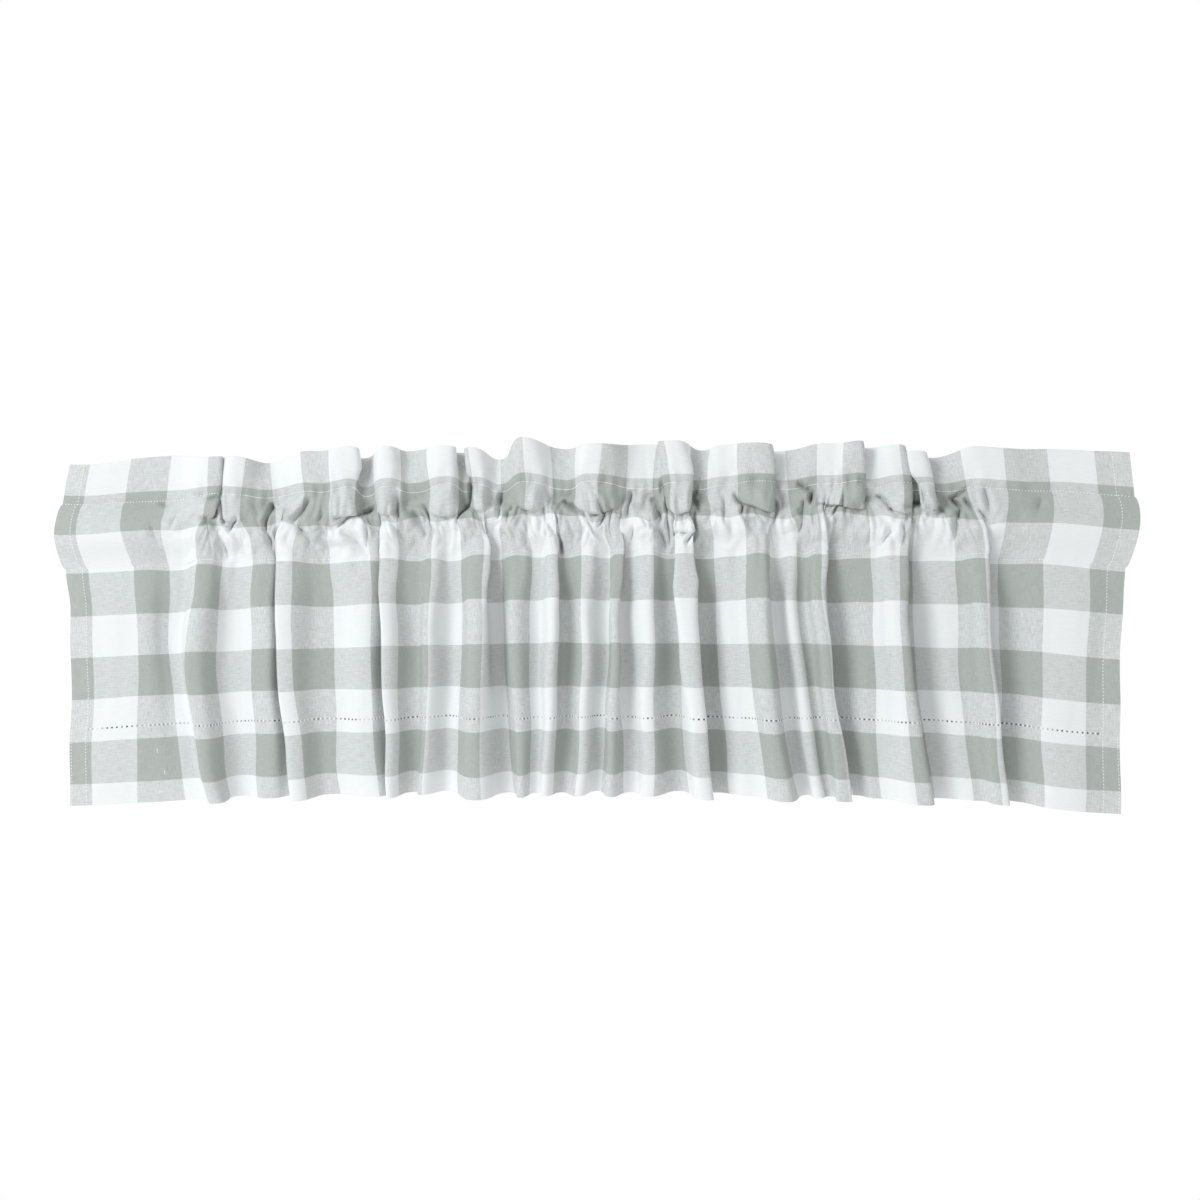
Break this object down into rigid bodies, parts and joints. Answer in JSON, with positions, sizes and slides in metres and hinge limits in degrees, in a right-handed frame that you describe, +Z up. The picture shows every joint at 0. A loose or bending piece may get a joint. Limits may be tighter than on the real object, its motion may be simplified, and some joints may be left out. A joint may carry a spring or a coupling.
{
  "type": "window valance",
  "caption": "Rod-pocket window valance of woven buffalo check, with a frilled heading, a gathered pocket and a softly folded skirt with a deep hem.",
  "frame": {"origin": "middle of the heading's top edge, where the valance is held", "axes": "+X along the valance to the right seen from the front, +Z up, the face of the cloth looks along -Y"},
  "size_m": [1.1367, 0.0434, 0.3896],
  "materials": {
    "check_cloth": "plain-woven cotton, yarn-dyed grey and white check, matt"
  },
  "bodies": {
    "root": {"heading": "check_cloth", "rod_pocket": "check_cloth", "skirt": "check_cloth"}
  },
  "joints": []
}
